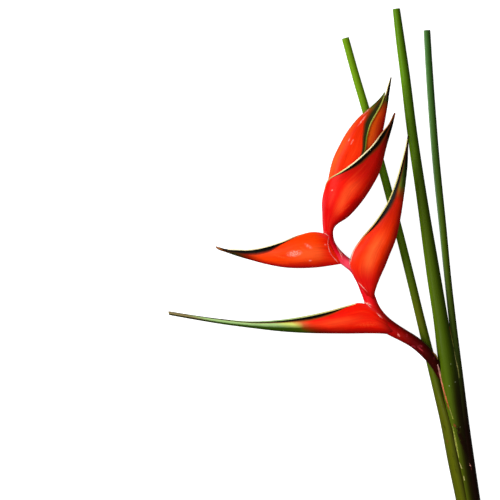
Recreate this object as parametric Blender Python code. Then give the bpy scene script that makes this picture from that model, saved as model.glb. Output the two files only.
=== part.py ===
# Cut heliconia flower, lying on a flat surface.
# Six keeled bracts sit in two rows on a zigzag flower stalk, and three cut leaf stalks
# close round its foot with their sheaths.
# Metres, +Z up. X and Y come from a full-size drawing sheet, Z is the height over the surface.

import math

import bmesh
import bpy
from mathutils import Vector

MM = 0.001

# Driving dimensions, in millimetres
SHEET_ORIGIN = (464.4, 0.0)   # sheet point of the part's origin, on the flat underside of the outer sheath
SEAT_GAP = 0.3                # clearance between pieces that touch
BRACT_WALL = 1.1              # thickness of a bract
TIP_WALL = 0.42               # share of a thin tip's width that its wall may take
KEEL_SHARE = 0.45             # widest place of a bract's section, as a share of its depth from the keel
HEAD_HEIGHT = 22.0            # height of the bracts' middle plane at the lowest node
HEAD_NODE_X = 380.0           # sheet X of that node
HEAD_FALL = 0.108             # fall of the middle plane towards the bract tips
HEAD_LIFT = 0.000038          # lift that keeps the longest tip off the surface

# Facets
BRACT_STATIONS = 22
BRACT_KEEL_STEPS = 3
BRACT_SIDE_STEPS = 3
STALK_SIDES = 16
FLOWER_STALK_SIDES = 14
FLORET_SIDES = 8

# Bract stations from base to tip, in sheet millimetres:
# keel x, keel y, margin x, margin y, half width, width of the mouth as a share of the half width
BRACTS = {
    "bract_1": [
        (384.0, 171.0, 376.0, 188.0, 5.8, 0.60),
        (372.0, 167.0, 364.0, 197.0, 9.6, 0.75),
        (352.0, 166.7, 347.5, 193.2, 12.0, 0.55),
        (333.0, 166.8, 330.0, 189.0, 10.6, 0.50),
        (309.0, 167.5, 305.0, 183.3, 7.8, 0.50),
        (282.4, 169.4, 280.0, 180.0, 5.2, 0.55),
        (251.8, 172.4, 250.0, 178.1, 3.4, 0.70),
        (221.0, 177.0, 220.0, 180.7, 2.3, 0.85),
        (190.6, 181.6, 190.5, 183.5, 1.5, 0.90),
        (168.5, 186.2, 168.0, 187.5, 0.8, 0.90),
    ],
    "bract_2": [
        (373.5, 196.5, 369.5, 197.5, 3.6, 0.80),
        (375.2, 209.0, 365.5, 210.0, 8.2, 0.97),
        (378.5, 221.5, 359.0, 223.5, 9.6, 0.92),
        (384.0, 233.0, 352.0, 236.0, 11.2, 0.78),
        (389.0, 244.5, 353.0, 247.5, 11.8, 0.62),
        (394.5, 259.0, 362.5, 261.5, 11.0, 0.52),
        (399.0, 278.0, 375.0, 277.0, 8.9, 0.50),
        (402.0, 296.0, 386.5, 295.5, 6.4, 0.55),
        (404.3, 316.0, 395.0, 316.0, 4.2, 0.65),
        (406.0, 335.0, 401.0, 336.5, 2.7, 0.80),
        (407.4, 352.0, 405.2, 353.0, 1.6, 0.90),
        (408.2, 363.0, 407.2, 363.6, 0.8, 0.90),
    ],
    "bract_3": [
        (342.0, 239.0, 333.0, 257.0, 3.8, 0.60),
        (333.0, 234.7, 324.5, 265.7, 10.5, 0.60),
        (321.0, 233.2, 315.0, 267.8, 13.4, 0.52),
        (303.0, 232.0, 299.0, 264.4, 14.0, 0.48),
        (285.4, 232.6, 283.0, 258.8, 11.4, 0.48),
        (267.5, 235.7, 266.5, 253.4, 8.0, 0.52),
        (249.6, 240.6, 249.5, 250.0, 4.8, 0.65),
        (233.0, 246.0, 233.0, 249.7, 2.3, 0.85),
        (222.5, 249.4, 222.5, 251.2, 1.3, 0.90),
        (216.0, 252.2, 215.7, 253.5, 0.8, 0.90),
    ],
    "bract_4": [
        (331.8, 263.0, 325.2, 263.4, 3.0, 0.60),
        (333.2, 270.5, 323.7, 272.0, 5.1, 0.50),
        (338.0, 276.2, 322.5, 287.0, 8.2, 0.35),
        (346.0, 281.5, 322.6, 297.0, 11.2, 0.32),
        (355.5, 290.5, 324.5, 308.5, 13.2, 0.36),
        (364.5, 302.7, 328.5, 320.2, 14.0, 0.52),
        (371.5, 314.2, 340.0, 327.7, 13.8, 0.86),
        (377.3, 325.8, 352.0, 336.0, 12.8, 0.95),
        (381.5, 338.0, 363.0, 345.4, 11.2, 1.00),
        (385.5, 351.5, 373.0, 355.5, 8.7, 1.00),
        (388.8, 362.2, 381.0, 366.2, 5.6, 1.00),
        (391.8, 372.5, 387.5, 374.2, 2.9, 0.95),
        (395.0, 386.0, 394.0, 386.7, 0.9, 0.90),
    ],
    "bract_5": [
        (329.5, 286.0, 331.8, 285.0, 1.5, 0.80),
        (326.8, 297.0, 337.0, 293.0, 5.2, 0.70),
        (326.6, 308.0, 345.0, 302.0, 7.6, 0.75),
        (328.9, 323.0, 350.0, 316.0, 9.0, 0.85),
        (333.5, 340.5, 356.0, 332.0, 9.6, 0.92),
        (341.0, 354.2, 363.5, 345.5, 9.2, 0.92),
        (350.0, 369.0, 366.5, 363.5, 8.0, 0.95),
        (359.5, 381.5, 370.5, 376.5, 6.6, 1.00),
        (369.0, 390.7, 376.3, 386.6, 5.2, 1.00),
        (377.6, 399.2, 381.4, 396.3, 4.0, 1.00),
        (381.4, 403.9, 383.4, 402.0, 2.8, 1.00),
        (383.9, 407.4, 384.5, 406.8, 1.0, 0.90),
    ],
    "bract_6": [
        (336.6, 298.0, 334.2, 299.6, 1.1, 0.60),
        (343.0, 304.0, 334.5, 312.0, 3.2, 0.40),
        (353.0, 314.0, 337.5, 323.0, 5.0, 0.35),
        (365.0, 328.0, 342.5, 337.0, 6.4, 0.35),
        (374.0, 342.0, 350.5, 351.5, 6.8, 0.35),
        (379.8, 357.0, 357.0, 363.5, 6.4, 0.35),
        (383.6, 373.0, 363.0, 378.5, 5.2, 0.35),
        (385.8, 386.0, 371.0, 388.0, 3.7, 0.35),
        (387.5, 397.5, 380.6, 397.0, 2.3, 0.40),
        (388.6, 405.5, 385.6, 404.5, 1.7, 0.50),
        (389.5, 412.5, 387.4, 411.8, 1.3, 0.80),
        (391.2, 422.0, 390.3, 422.2, 0.8, 0.90),
    ],
}

# Flower stalk from the cut end to the growing tip: sheet x, sheet y, height, radius
FLOWER_STALK = [
    (477.9, -55.0, 10.6, 4.6),
    (468.4, 0.0, 11.2, 4.8),
    (461.4, 40.0, 12.0, 5.0),
    (455.5, 70.0, 12.6, 5.2),
    (450.5, 92.0, 12.9, 5.3),
    (446.0, 110.0, 13.4, 5.5),
    (440.0, 126.5, 15.4, 5.6),
    (431.5, 139.5, 18.6, 5.6),
    (419.0, 153.5, 21.4, 5.6),
    (404.5, 165.5, 22.6, 5.9),
    (391.5, 172.5, 22.6, 7.2),
    (382.0, 177.0, 22.2, 9.0),
    (374.5, 187.5, 21.4, 7.9),
    (370.0, 200.5, 20.9, 6.3),
    (364.0, 213.5, 20.3, 6.3),
    (355.5, 226.0, 19.3, 6.3),
    (346.3, 237.2, 18.3, 5.7),
    (338.2, 246.0, 17.5, 5.3),
    (331.8, 254.5, 16.8, 5.2),
    (328.5, 262.5, 16.4, 4.8),
    (328.3, 270.0, 16.4, 3.8),
    (329.3, 279.0, 16.5, 3.1),
    (331.6, 289.0, 16.8, 2.5),
    (335.4, 299.0, 17.2, 1.8),
]

# Leaf stalks from the cut top to the cut foot: sheet x, sheet y, half width, half height, lift over the surface
LEAF_STALKS = {
    "leaf_stalk_left": [
        (345.5, 462.7, 3.4, 3.4, 0.0),
        (355.8, 425.0, 3.6, 3.6, 0.3),
        (366.9, 387.0, 3.8, 3.8, 0.6),
        (382.8, 330.0, 3.8, 3.9, 1.0),
        (400.3, 263.5, 4.0, 4.2, 1.8),
        (411.3, 220.0, 4.1, 4.4, 1.6),
        (421.0, 180.0, 4.2, 4.6, 1.2),
        (432.0, 137.0, 4.8, 5.4, 1.0),
        (439.0, 110.0, 5.5, 7.8, 0.8),
        (447.6, 80.0, 7.3, 10.8, 0.4),
        (456.6, 36.0, 7.8, 11.4, 0.0),
        (464.4, 0.0, 8.0, 11.0, 0.0),
        (473.9, -55.0, 7.7, 10.5, 0.0),
    ],
    "leaf_stalk_middle": [
        (396.6, 492.0, 3.6, 3.6, 0.6),
        (400.7, 460.0, 4.3, 4.3, 0.5),
        (404.9, 429.0, 4.7, 4.6, 0.4),
        (412.2, 370.0, 4.7, 4.8, 0.4),
        (422.4, 300.0, 5.2, 5.4, 0.8),
        (434.6, 220.0, 6.7, 6.6, 1.4),
        (440.8, 180.0, 7.2, 7.6, 2.9),
        (446.4, 142.0, 8.6, 9.0, 4.2),
        (450.6, 114.0, 9.0, 10.4, 2.2),
        (454.8, 80.0, 9.7, 11.6, 0.4),
        (462.0, 36.0, 9.2, 11.3, 0.0),
        (468.2, 0.0, 8.8, 10.9, 0.0),
        (477.8, -55.0, 8.5, 10.4, 0.0),
    ],
    "leaf_stalk_right": [
        (427.4, 470.5, 3.4, 3.4, 0.0),
        (429.8, 429.0, 3.5, 3.5, 0.3),
        (433.2, 380.0, 3.6, 3.6, 0.6),
        (436.3, 340.0, 3.7, 3.7, 0.8),
        (443.5, 270.0, 3.5, 3.7, 1.2),
        (448.4, 220.0, 3.3, 3.8, 1.8),
        (452.7, 180.0, 3.5, 4.0, 2.8),
        (457.0, 144.0, 3.7, 4.6, 3.8),
        (460.2, 116.0, 4.1, 5.8, 4.2),
        (463.8, 80.0, 4.9, 7.8, 3.2),
        (469.6, 36.0, 5.3, 8.2, 2.8),
        (474.9, 0.0, 5.4, 8.2, 2.6),
        (484.2, -55.0, 5.3, 8.0, 2.4),
    ],
}
LEAF_STALK_STATIONS = 34
FLOWER_STALK_STATIONS = 48

# Floret clusters: sheet x, y of the seat on the flower stalk, sheet x, y of the middle tip, number of florets
FLORETS = {
    "florets_1": ((369.5, 180.5), (336.0, 185.0), 4),
    "florets_2": ((368.6, 217.6), (372.5, 258.0), 4),
    "florets_3": ((331.2, 246.6), (299.0, 256.0), 4),
}
FLORET_RADIUS = 1.7
FLORET_SPREAD = 5.6           # distance between the outer tips, across the bract
FLORET_SEAT_RADIUS = 3.0

# Materials: base colour, roughness
COLOURS = {
    "bract": ((0.86, 0.07, 0.01, 1.0), 0.30),
    "flower_stalk": ((0.55, 0.02, 0.04, 1.0), 0.35),
    "leaf_stalk": ((0.20, 0.38, 0.02, 1.0), 0.35),
    "florets": ((0.85, 0.78, 0.38, 1.0), 0.45),
}


def clear_scene():
    for old in list(bpy.context.scene.objects):
        bpy.data.objects.remove(old, do_unlink=True)


def new_collection(name):
    collection = bpy.data.collections.new(name)
    bpy.context.scene.collection.children.link(collection)
    return collection


def new_material(name, colour, roughness):
    material = bpy.data.materials.new(name)
    material.use_nodes = True
    shader = material.node_tree.nodes["Principled BSDF"]
    shader.inputs["Base Color"].default_value = colour
    shader.inputs["Roughness"].default_value = roughness
    shader.inputs["Metallic"].default_value = 0.0
    return material


def smooth_rows(rows, count, placed):
    # Rows spread evenly along a smooth curve through the given ones. The first placed columns are its place.
    knots = [0.0]
    for a, b in zip(rows, rows[1:]):
        knots.append(knots[-1] + math.dist(a[:placed], b[:placed]))
    width = len(rows[0])

    def slope(i, column):
        def step(j):
            return (rows[j + 1][column] - rows[j][column]) / (knots[j + 1] - knots[j])
        if i == 0:
            return step(0)
        if i == len(rows) - 1:
            return step(i - 1)
        before = knots[i] - knots[i - 1]
        after = knots[i + 1] - knots[i]
        return (step(i - 1) * after + step(i) * before) / (before + after)

    result = []
    span = 0
    for k in range(count):
        place = knots[-1] * k / (count - 1)
        while span < len(rows) - 2 and place > knots[span + 1]:
            span += 1
        length = knots[span + 1] - knots[span]
        t = (place - knots[span]) / length
        row = []
        for column in range(width):
            a = rows[span][column]
            b = rows[span + 1][column]
            start = slope(span, column) * length
            end = slope(span + 1, column) * length
            row.append(
                (2 * t**3 - 3 * t**2 + 1) * a + (t**3 - 2 * t**2 + t) * start
                + (3 * t**2 - 2 * t**3) * b + (t**3 - t**2) * end
            )
        result.append(tuple(row))
    return result


def on_part(x, y, z):
    return Vector((x - SHEET_ORIGIN[0], y - SHEET_ORIGIN[1], z)) * MM


def head_plane(x):
    run = HEAD_NODE_X - x
    return HEAD_HEIGHT - HEAD_FALL * run + HEAD_LIFT * run * run


def skin(name, rings, caps):
    # A closed mesh through rings of equal length. caps gives the faces that close an end, as ring positions.
    mesh = bpy.data.meshes.new(name)
    bm = bmesh.new()
    grid = [[bm.verts.new(point) for point in ring] for ring in rings]
    count = len(rings[0])
    for a, b in zip(grid, grid[1:]):
        for i in range(count):
            j = (i + 1) % count
            bm.faces.new((a[i], a[j], b[j], b[i]))
    for end in (grid[0], grid[-1]):
        for face in caps:
            bm.faces.new([end[i] for i in face])
    bmesh.ops.recalc_face_normals(bm, faces=bm.faces)
    bm.to_mesh(mesh)
    bm.free()
    mesh.shade_smooth()
    mesh.set_sharp_from_angle(angle=math.radians(50))
    return mesh


def place(mesh, collection, material=None):
    thing = bpy.data.objects.new(mesh.name, mesh)
    collection.objects.link(thing)
    if material is not None:
        mesh.materials.append(material)
    return thing


def bract_section(station):
    # Outline of one section: down the near side from margin to keel, up the far side, and back inside.
    keel_x, keel_y, margin_x, margin_y, half_width, mouth = station
    depth = math.hypot(margin_x - keel_x, margin_y - keel_y)
    way = ((margin_x - keel_x) / depth, (margin_y - keel_y) / depth)
    side_wall = min(BRACT_WALL, TIP_WALL * 2 * half_width * min(1.0, mouth))
    keel_wall = min(BRACT_WALL, TIP_WALL * depth)
    half = []
    for i in range(BRACT_KEEL_STEPS):
        angle = 0.5 * math.pi * i / BRACT_KEEL_STEPS
        half.append((KEEL_SHARE * (1 - math.cos(angle)), math.sin(angle)))
    for i in range(BRACT_SIDE_STEPS + 1):
        angle = 0.5 * math.pi * i / BRACT_SIDE_STEPS
        share = KEEL_SHARE + (1 - KEEL_SHARE) * math.sin(angle)
        half.append((share, mouth + (1 - mouth) * math.cos(angle)))

    def point(share, width, start):
        along = start + (depth - start) * share
        x = keel_x + way[0] * along
        y = keel_y + way[1] * along
        return on_part(x, y, max(0.0, head_plane(x) + width))

    outer = [(share, half_width * width) for share, width in half]
    inner = []
    for i, (share, width) in enumerate(half):
        if i < BRACT_KEEL_STEPS:
            inner.append((share, (half_width - side_wall) * width))
        else:
            inner.append((share, half_width * width - side_wall))
    ring = [point(share, width, 0.0) for share, width in reversed(outer)]
    ring += [point(share, -width, 0.0) for share, width in outer[1:]]
    ring += [point(share, -width, keel_wall) for share, width in reversed(inner)]
    ring += [point(share, width, keel_wall) for share, width in inner[1:]]
    return ring


def bract_caps(count):
    last = count - 1
    return [(i, i + 1, last - i - 1, last - i) for i in range(count // 2 - 1)]


def make_bract(name, stations, collection, material, cutter):
    rings = [bract_section(row) for row in smooth_rows(stations, BRACT_STATIONS, 4)]
    bract = place(skin(name, rings, bract_caps(len(rings[0]))), collection, material)
    cut(bract, cutter)
    return bract


def stalk_rings(rows, sides, grow):
    # Rows are sheet x, sheet y, height, half width, half height. A facet lies level at the underside.
    rings = []
    for i, (x, y, height, half_width, half_height) in enumerate(rows):
        before = rows[max(0, i - 1)]
        after = rows[min(len(rows) - 1, i + 1)]
        run = math.hypot(after[0] - before[0], after[1] - before[1])
        across = ((after[1] - before[1]) / run, (before[0] - after[0]) / run)
        ring = []
        for k in range(sides):
            angle = 2 * math.pi * (k + 0.5) / sides - 0.5 * math.pi
            wide = (half_width + grow) * math.cos(angle)
            tall = (half_height + grow) * math.sin(angle)
            ring.append(on_part(x + across[0] * wide, y + across[1] * wide, height + tall))
        rings.append(ring)
    return rings


def stretch_ends(rows, extra):
    # The same rows with both ends carried on, so that a cutter passes the faces that it cuts.
    def beyond(end, beside):
        run = math.dist(end[:2], beside[:2])
        return tuple(
            value + (value - other) * extra / run if column < 2 else value
            for column, (value, other) in enumerate(zip(end, beside))
        )
    return [beyond(rows[0], rows[1])] + list(rows[1:-1]) + [beyond(rows[-1], rows[-2])]


def flower_stalk_rows():
    rows = smooth_rows(FLOWER_STALK, FLOWER_STALK_STATIONS, 3)
    return [(x, y, height, radius, radius) for x, y, height, radius in rows]


def leaf_stalk_rows(stations):
    level = math.cos(math.pi / STALK_SIDES)
    rows = smooth_rows(stations, LEAF_STALK_STATIONS, 2)
    return [(x, y, max(0.0, lift) + tall * level, wide, tall) for x, y, wide, tall, lift in rows]


def stalk_mesh(name, rows, sides, grow=0.0):
    return skin(name, stalk_rings(rows, sides, grow), [tuple(range(sides))])


def make_cutter(name, rows, sides, collection):
    cutter = place(stalk_mesh(name, stretch_ends(rows, 2.0), sides, SEAT_GAP), collection)
    cutter.hide_render = True
    cutter.display_type = "WIRE"
    return cutter


def cut(thing, cutter):
    modifier = thing.modifiers.new(cutter.name, "BOOLEAN")
    modifier.operation = "DIFFERENCE"
    modifier.object = cutter
    modifier.solver = "EXACT"


def make_florets(name, bed, collection, material, cutter):
    # Slender buds side by side on a small seat against the flower stalk, joined in one solid.
    seat, tip, count = bed
    helpers = bpy.data.collections.new(name + "_pieces")
    for i in range(count):
        side = (i - 0.5 * (count - 1)) / (count - 1) * FLORET_SPREAD
        reach = 1.0 - 0.12 * (i % 2)
        rows = []
        for share, size in ((0.0, 0.75), (0.15, 0.95), (0.55, 1.0), (0.85, 0.7), (1.0, 0.25)):
            x = seat[0] + (tip[0] - seat[0]) * share * reach
            y = seat[1] + (tip[1] - seat[1]) * share * reach
            height = head_plane(x) + side * (0.45 + 0.55 * share)
            rows.append((x, y, height, FLORET_RADIUS * size, FLORET_RADIUS * size))
        place(stalk_mesh(f"{name}_{i}", rows, FLORET_SIDES), helpers)
    body = bpy.data.meshes.new(name)
    bm = bmesh.new()
    bmesh.ops.create_icosphere(bm, subdivisions=2, radius=FLORET_SEAT_RADIUS * MM)
    bmesh.ops.translate(bm, verts=bm.verts, vec=on_part(seat[0], seat[1], head_plane(seat[0])))
    bm.to_mesh(body)
    bm.free()
    florets = place(body, collection)
    bpy.context.scene.collection.children.link(helpers)
    modifier = florets.modifiers.new("join", "BOOLEAN")
    modifier.operation = "UNION"
    modifier.operand_type = "COLLECTION"
    modifier.collection = helpers
    modifier.solver = "EXACT"
    bpy.context.view_layer.update()
    joined = bpy.data.meshes.new_from_object(florets.evaluated_get(bpy.context.evaluated_depsgraph_get()))
    joined.name = name
    florets.modifiers.clear()
    florets.data = joined
    joined.materials.clear()
    joined.materials.append(material)
    joined.shade_smooth()
    for helper in list(helpers.objects):
        bpy.data.objects.remove(helper, do_unlink=True)
    bpy.data.collections.remove(helpers)
    cut(florets, cutter)
    return florets


def main():
    clear_scene()
    parts = new_collection("heliconia_flower")
    cutters = new_collection("cutters")
    materials = {name: new_material(name, *values) for name, values in COLOURS.items()}

    stem_rows = flower_stalk_rows()
    place(stalk_mesh("flower_stalk", stem_rows, FLOWER_STALK_SIDES), parts, materials["flower_stalk"])
    stem_cutter = make_cutter("cut_flower_stalk", stem_rows, FLOWER_STALK_SIDES, cutters)

    for name, stations in BRACTS.items():
        make_bract(name, stations, parts, materials["bract"], stem_cutter)

    # The outer sheath is whole, and each one further in gives way to those over it
    outer_cutters = [stem_cutter]
    for name, stations in LEAF_STALKS.items():
        rows = leaf_stalk_rows(stations)
        stalk = place(stalk_mesh(name, rows, STALK_SIDES), parts, materials["leaf_stalk"])
        for cutter in outer_cutters:
            cut(stalk, cutter)
        outer_cutters.append(make_cutter("cut_" + name, rows, STALK_SIDES, cutters))

    for name, bed in FLORETS.items():
        make_florets(name, bed, parts, materials["florets"], stem_cutter)


main()
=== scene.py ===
# Cut heliconia flower, lying on a pale table: the finish of every piece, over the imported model.
# Sheet places are millimetres on the drawing sheet, x to the right, y up, and heights are over the table.
import math
from functools import partial
import bmesh
import bpy
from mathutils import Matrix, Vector
from mathutils.bvhtree import BVHTree


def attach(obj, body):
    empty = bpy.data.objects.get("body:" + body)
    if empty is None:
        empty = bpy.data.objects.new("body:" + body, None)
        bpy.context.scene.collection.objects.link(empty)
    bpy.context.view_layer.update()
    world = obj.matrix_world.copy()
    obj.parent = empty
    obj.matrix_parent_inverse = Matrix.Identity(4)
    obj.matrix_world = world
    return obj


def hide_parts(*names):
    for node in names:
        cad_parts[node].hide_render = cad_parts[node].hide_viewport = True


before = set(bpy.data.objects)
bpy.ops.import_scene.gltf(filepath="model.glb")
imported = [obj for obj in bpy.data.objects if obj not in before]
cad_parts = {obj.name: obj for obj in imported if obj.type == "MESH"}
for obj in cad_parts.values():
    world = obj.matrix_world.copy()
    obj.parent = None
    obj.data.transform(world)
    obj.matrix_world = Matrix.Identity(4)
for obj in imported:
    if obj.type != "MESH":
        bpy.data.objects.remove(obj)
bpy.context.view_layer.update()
print("frame loaded:", len(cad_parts), "solids")

mm = 0.001
sheetOrigin = (464.4, 0.0)


def onPart(x, y, z):
    return Vector((x - sheetOrigin[0], y - sheetOrigin[1], z)) * mm


def paint(hexText, alpha=1.0):
    # an sRGB hex colour, turned linear
    values = []
    for i in (1, 3, 5):
        value = int(hexText[i:i + 2], 16) / 255
        values.append(value / 12.92 if value <= 0.04045 else ((value + 0.055) / 1.055) ** 2.4)
    return (*values, alpha)


colourMix = {"data_type": "RGBA"}
toneMix = {"data_type": "RGBA", "blend_type": "MULTIPLY"}
softStep = {"interpolation_type": "SMOOTHSTEP"}
pointVector = {"data_type": "FLOAT_VECTOR", "domain": "POINT"}


def addNode(tree, kind, settings=None, inputs=None, stops=None):
    # A node with its settings, or its operation alone, and its inputs by name or as a list in the order of its
    # sockets. An input is a value, a node, or a node and the name of its output. The stops are those of a ramp.
    node = tree.nodes.new(kind if kind.startswith(("Geometry", "NodeGroup")) else "ShaderNode" + kind)
    if isinstance(settings, str):
        settings = {"operation": settings}
    for name, value in (settings or {}).items():
        setattr(node, name, value)
    if stops:
        ramp = node.color_ramp
        for i, stop in enumerate(stops):
            last = i == len(stops) - 1
            element = ramp.elements[0] if i == 0 else ramp.elements[-1] if last else ramp.elements.new(stop[0])
            element.position = stop[0]
            element.color = paint(*stop[1:])
    sockets = [socket for socket in node.inputs if socket.enabled]
    if isinstance(inputs, list):
        pairs = list(zip(sockets, inputs))
    else:
        pairs = [(next(s for s in sockets if s.name == name), value) for name, value in (inputs or {}).items()]
    for socket, value in pairs:
        if isinstance(value, bpy.types.Node):
            tree.links.new(next(s for s in value.outputs if s.enabled), socket)
        elif isinstance(value, tuple) and isinstance(value[0], bpy.types.Node):
            tree.links.new(value[0].outputs[value[1]], socket)
        else:
            socket.default_value = value
    return node


def newSkin(name):
    # gives a new material, the function that adds nodes to it, and its object coordinates
    material = bpy.data.materials.new(name)
    material.use_nodes = True
    add = partial(addNode, material.node_tree)
    return material, add, (add("TexCoord"), "Object")


def splitVector(add, vector):
    parts = add("SeparateXYZ", {}, [vector])
    return (parts, "X"), (parts, "Y"), (parts, "Z")


def splitAttribute(add, name):
    return splitVector(add, (add("Attribute", {"attribute_name": name}), "Vector"))


def tintWhere(add, under, over, where, start, end, amount=1.0, way=softStep):
    # over laid on under, not at all where the value is start and by the amount where it is end
    return add("Mix", colourMix, [add("MapRange", way, [where, start, end, 0.0, amount]), under, over])


def shadeWhere(add, colour, where, start, end, low, high):
    # a colour times a tone, low where the value is start and high where it is end
    return add("Mix", toneMix, [1.0, colour, add("MapRange", {}, [where, start, end, low, high])])


def finishSkin(material, colour, relief, values):
    shader = material.node_tree.nodes["Principled BSDF"]
    if colour:
        material.node_tree.links.new(next(s for s in colour.outputs if s.enabled), shader.inputs["Base Color"])
    if relief:
        material.node_tree.links.new(relief.outputs["Normal"], shader.inputs["Normal"])
    for name, value in values.items():
        shader.inputs[name].default_value = value
    return material


def smoothRows(rows, count, placed):
    # rows spread evenly along a smooth curve through the given ones, whose first placed columns are their place
    knots = [0.0]
    for a, b in zip(rows, rows[1:]):
        knots.append(knots[-1] + math.dist(a[:placed], b[:placed]))

    steps = []
    for a, b, here, there in zip(rows, rows[1:], knots, knots[1:]):
        steps.append([(y - x) / (there - here) for x, y in zip(a, b)])
    slopes = [steps[0]]
    for i in range(1, len(rows) - 1):
        before = knots[i] - knots[i - 1]
        after = knots[i + 1] - knots[i]
        slopes.append([(a * after + b * before) / (before + after) for a, b in zip(steps[i - 1], steps[i])])
    slopes.append(steps[-1])

    result = []
    span = 0
    for k in range(count):
        place = knots[-1] * k / (count - 1)
        while span < len(rows) - 2 and place > knots[span + 1]:
            span += 1
        length = knots[span + 1] - knots[span]
        t = (place - knots[span]) / length
        result.append([
            (2 * t**3 - 3 * t**2 + 1) * a + (t**3 - 2 * t**2 + t) * (slopeA * length)
            + (3 * t**2 - 2 * t**3) * b + (t**3 - t**2) * (slopeB * length)
            for a, slopeA, b, slopeB in zip(rows[span], slopes[span], rows[span + 1], slopes[span + 1])])
    return result


def keepVectors(mesh, name, values):
    mesh.attributes.new(name, "FLOAT_VECTOR", "POINT").data.foreach_set("vector", values)


def newObject(name, data, place=(0.0, 0.0, 0.0)):
    thing = bpy.data.objects.new(name, data)
    thing.location = place
    bpy.context.scene.collection.objects.link(thing)
    return thing


def joinMeshes(name, meshes, skin):
    # one mesh of several, which are removed
    bm = bmesh.new()
    for one in meshes:
        bm.from_mesh(one)
        bpy.data.meshes.remove(one)
    mesh = bpy.data.meshes.new(name)
    bm.to_mesh(mesh)
    bm.free()
    mesh.materials.append(skin)
    mesh.shade_smooth()
    return mesh


def newPiece(name, mesh, nodes, slot):
    # a finished piece at the origin, riding on the one body
    thing = newObject(name, mesh)
    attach(thing, "root")
    if nodes:
        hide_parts(*nodes)


def closeMesh(mesh):
    # faces outwards and smooth
    bm = bmesh.new()
    bm.from_mesh(mesh)
    bmesh.ops.recalc_face_normals(bm, faces=bm.faces)
    bm.to_mesh(mesh)
    bm.free()
    mesh.shade_smooth()


# Bracts: a keeled boat, its keel on one side of the sheet outline and its two margins on the other
bractShape = {
    "stations": 150,
    "keelSteps": 12,
    "sideSteps": 20,
    "keelShare": 0.45,      # widest place of a section, as a share of its depth from the keel
    "sideTurn": 74.0,       # degrees that a side bends over from there to its margin
    "wall": 1.1,
    "rimWall": 0.85,
    "tipWall": 0.42,        # share of a thin tip that its wall may take
    "lip": 0.45,            # outward roll of the margin, at most lipShare of the half width
    "lipShare": 0.12,
    "lipReach": 2.4,
    "rimTurn": (35, 90, 145),
    "thinnest": 0.05,       # a narrower rim or band isn't drawn
    "veins": 34.0,          # veins from keel to margin
}
headPlane = {"height": 22.0, "nodeX": 380.0, "fall": 0.108, "lift": 0.000038}
heliconia = {                   # what this plant's tissues are coloured
    # the crown orange is the bracts' own lighter orange and their painted highlight; bloom and frost paint sheen on
    # lit stalk edges;
    # the rubbed pink marks rubbed spots and painted glints; the keel red and the bronze are own colours that also
    # paint shade.
    "keel": "#920202", "scarlet": "#EE1402", "orange": "#F83C02", "crown": "#FF5E26", "crimson": "#B80204",
    "pink": "#EC4450", "pinkRed": "#E40C24", "rose": "#FF5068", "dusk": "#9C0A02", "maroon": "#6A0204",
    "ochre": "#D85602", "ridge": "#9CA040", "ruby": "#D40408", "flame": "#F42E02", "paper": "#C4948A",
    "salmon": "#E07850", "rust": "#B04C14", "husk": "#80400C", "lime": "#D0D868", "leaf": "#A2C47C",
    "fade": "#8A7A50", "olive": "#66781C", "moss": "#3C4C14", "night": "#060602", "umber": "#360602",
    "bark": "#5C2204", "thicket": "#26280C", "cream": "#FFF0BC", "straw": "#D8CC80", "tan": "#C07840",
    "bronze": "#1C0C04", "bloom": "#84BC14", "frostSheen": "#96C08C", "green": "#6C940C", "leafGreen": "#588208",
    "deepGreen": "#4A6006", "seaGreen": "#3C6826", "sheath": "#565C06", "rubbed": "#FFAC9C", "scar": "#7A3A1C",
    "speck": "#141402", "dust": "#C8CCA8",
}
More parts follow.
